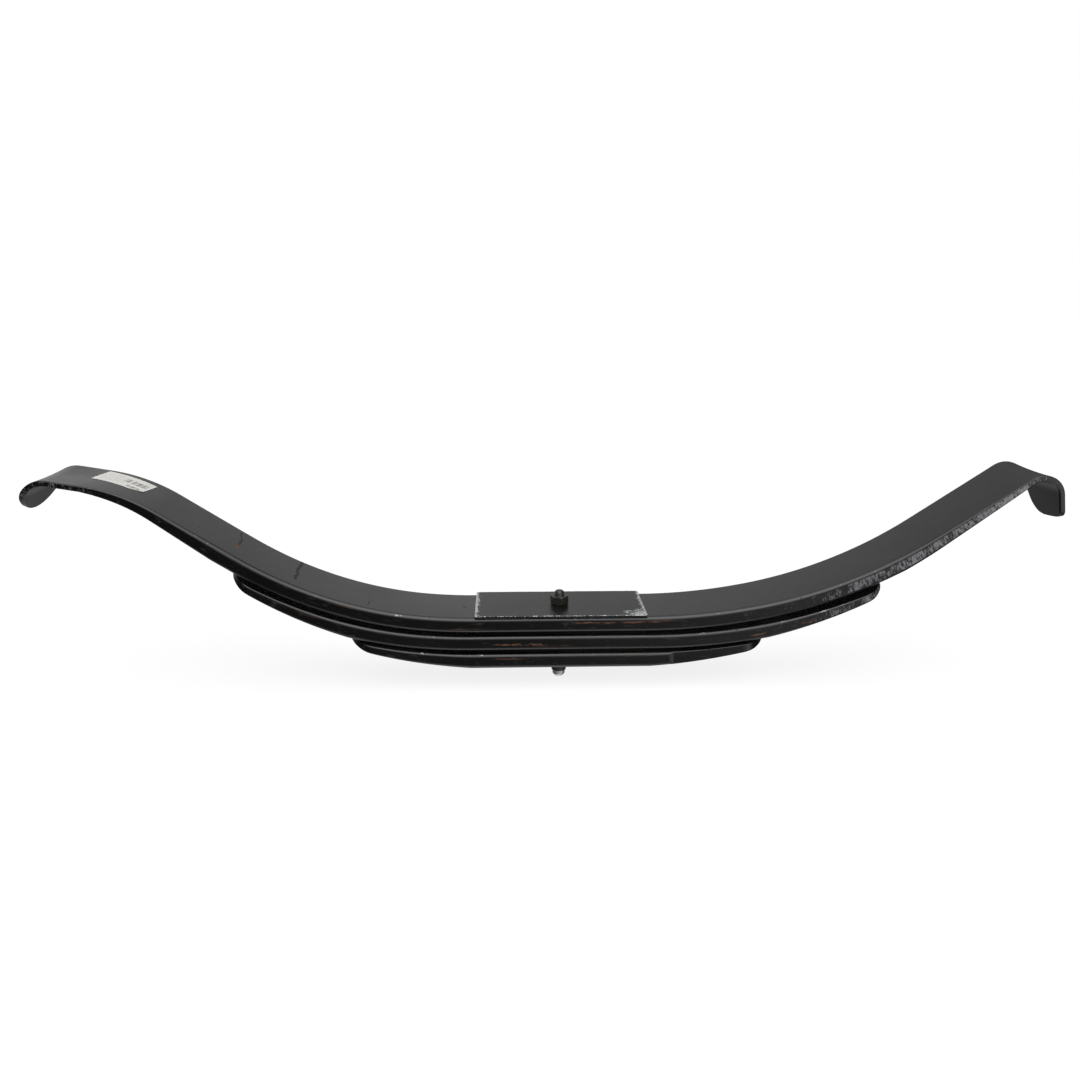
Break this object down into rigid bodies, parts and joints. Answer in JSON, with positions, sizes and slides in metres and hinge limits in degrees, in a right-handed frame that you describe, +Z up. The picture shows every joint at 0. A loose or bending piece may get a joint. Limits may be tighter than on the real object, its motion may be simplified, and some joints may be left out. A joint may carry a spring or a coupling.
{
  "type": "leaf spring",
  "caption": "Taper leaf spring pack with hooked ends on its main leaf, liners between the leaves, a seat pad and one centre bolt and nut.",
  "frame": {"origin": "on the centre bolt's axis, at the underside of the lowest leaf, where the spring sits on its axle seat", "axes": "+X along the spring towards the end with the longer hook lip, +Y across its width, +Z up from the axle seat to the nut"},
  "size_m": [1.0349, 0.0762, 0.2237],
  "materials": {
    "leaf_paint": "satin black paint with scuffs and a little rust",
    "pad_paint": "satin black paint, worn to metal at the edges",
    "bolt_steel": "bare machined steel, painted above the pilot",
    "nut_steel": "dark oily steel",
    "label_paper": "matt off-white paper"
  },
  "bodies": {
    "main": {"main_leaf": "leaf_paint", "left_hook": "leaf_paint", "right_hook": "leaf_paint", "label": "label_paper"},
    "seat": {"second_leaf": "leaf_paint", "third_leaf": "leaf_paint", "top_pad": "pad_paint", "upper_liner": "pad_paint", "lower_liner": "pad_paint", "centre_bolt": "bolt_steel", "centre_nut": "nut_steel"}
  },
  "joints": [
    {"name": "spring_travel", "type": "slide", "parent": "main", "child": "seat", "axis": [0, 0, 1], "range_m": [0, 0.08], "stiffness_N_per_m": 450000, "deforming": ["main_leaf", "second_leaf", "third_leaf"]}
  ]
}
